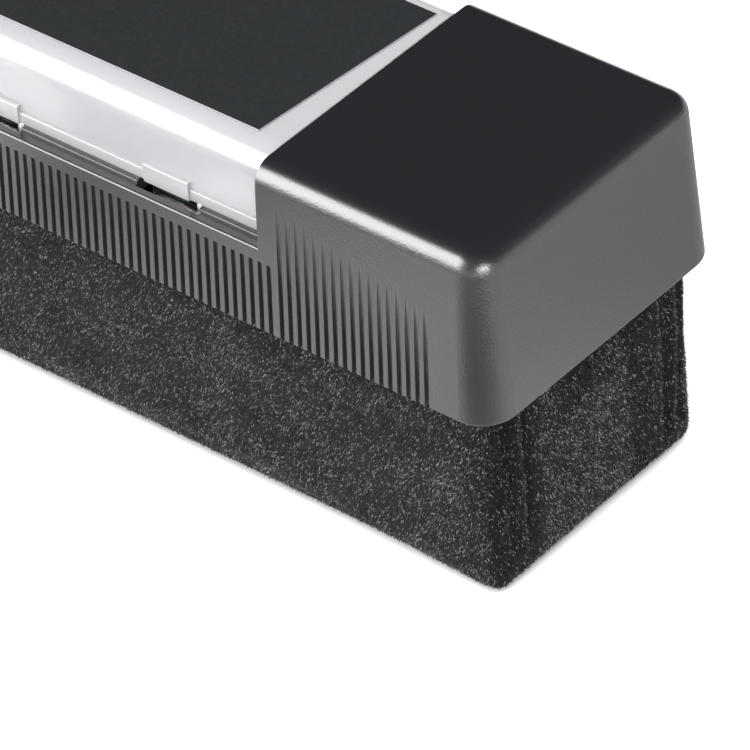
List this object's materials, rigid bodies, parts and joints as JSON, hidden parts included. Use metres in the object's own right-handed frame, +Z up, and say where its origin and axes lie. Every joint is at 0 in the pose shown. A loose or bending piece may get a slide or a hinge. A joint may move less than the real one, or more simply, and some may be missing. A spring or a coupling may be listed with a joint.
{
  "type": "chalkboard eraser",
  "caption": "Board eraser: a velvet-faced foam pad under a black grooved handle with raised end blocks and a clear lift-off cover between them.",
  "frame": {"origin": "middle of the pad's underside, on the surface that the eraser stands on", "axes": "+X along the long side, +Y across, +Z up out of the top of the cover"},
  "size_m": [0.14, 0.048, 0.0567],
  "materials": {
    "handle_abs": "satin moulded black ABS",
    "clear_plastic": "clear moulded polystyrene",
    "label_film": "dark printed film",
    "white_plastic": "white moulded polystyrene",
    "adhesive_tape": "double-sided tissue tape",
    "plate_abs": "moulded black ABS",
    "screw_steel": "zinc-plated steel",
    "foam": "open-cell polyurethane foam",
    "velvet": "short-pile black velvet"
  },
  "bodies": {
    "handle": {"handle_shell": "handle_abs", "inner_tray": "white_plastic", "tray_tape": "adhesive_tape", "pad_plate": "plate_abs", "plate_screws": "screw_steel", "foam_adhesive": "adhesive_tape", "foam_block": "foam", "velvet_cover": "velvet", "fabric_staples": "screw_steel"},
    "cover": {"clear_cover": "clear_plastic", "cover_label": "label_film"}
  },
  "joints": [
    {"name": "cover_lift", "type": "slide", "parent": "handle", "child": "cover", "axis": [0, 0, 1], "range_m": [0, 0.03]}
  ]
}
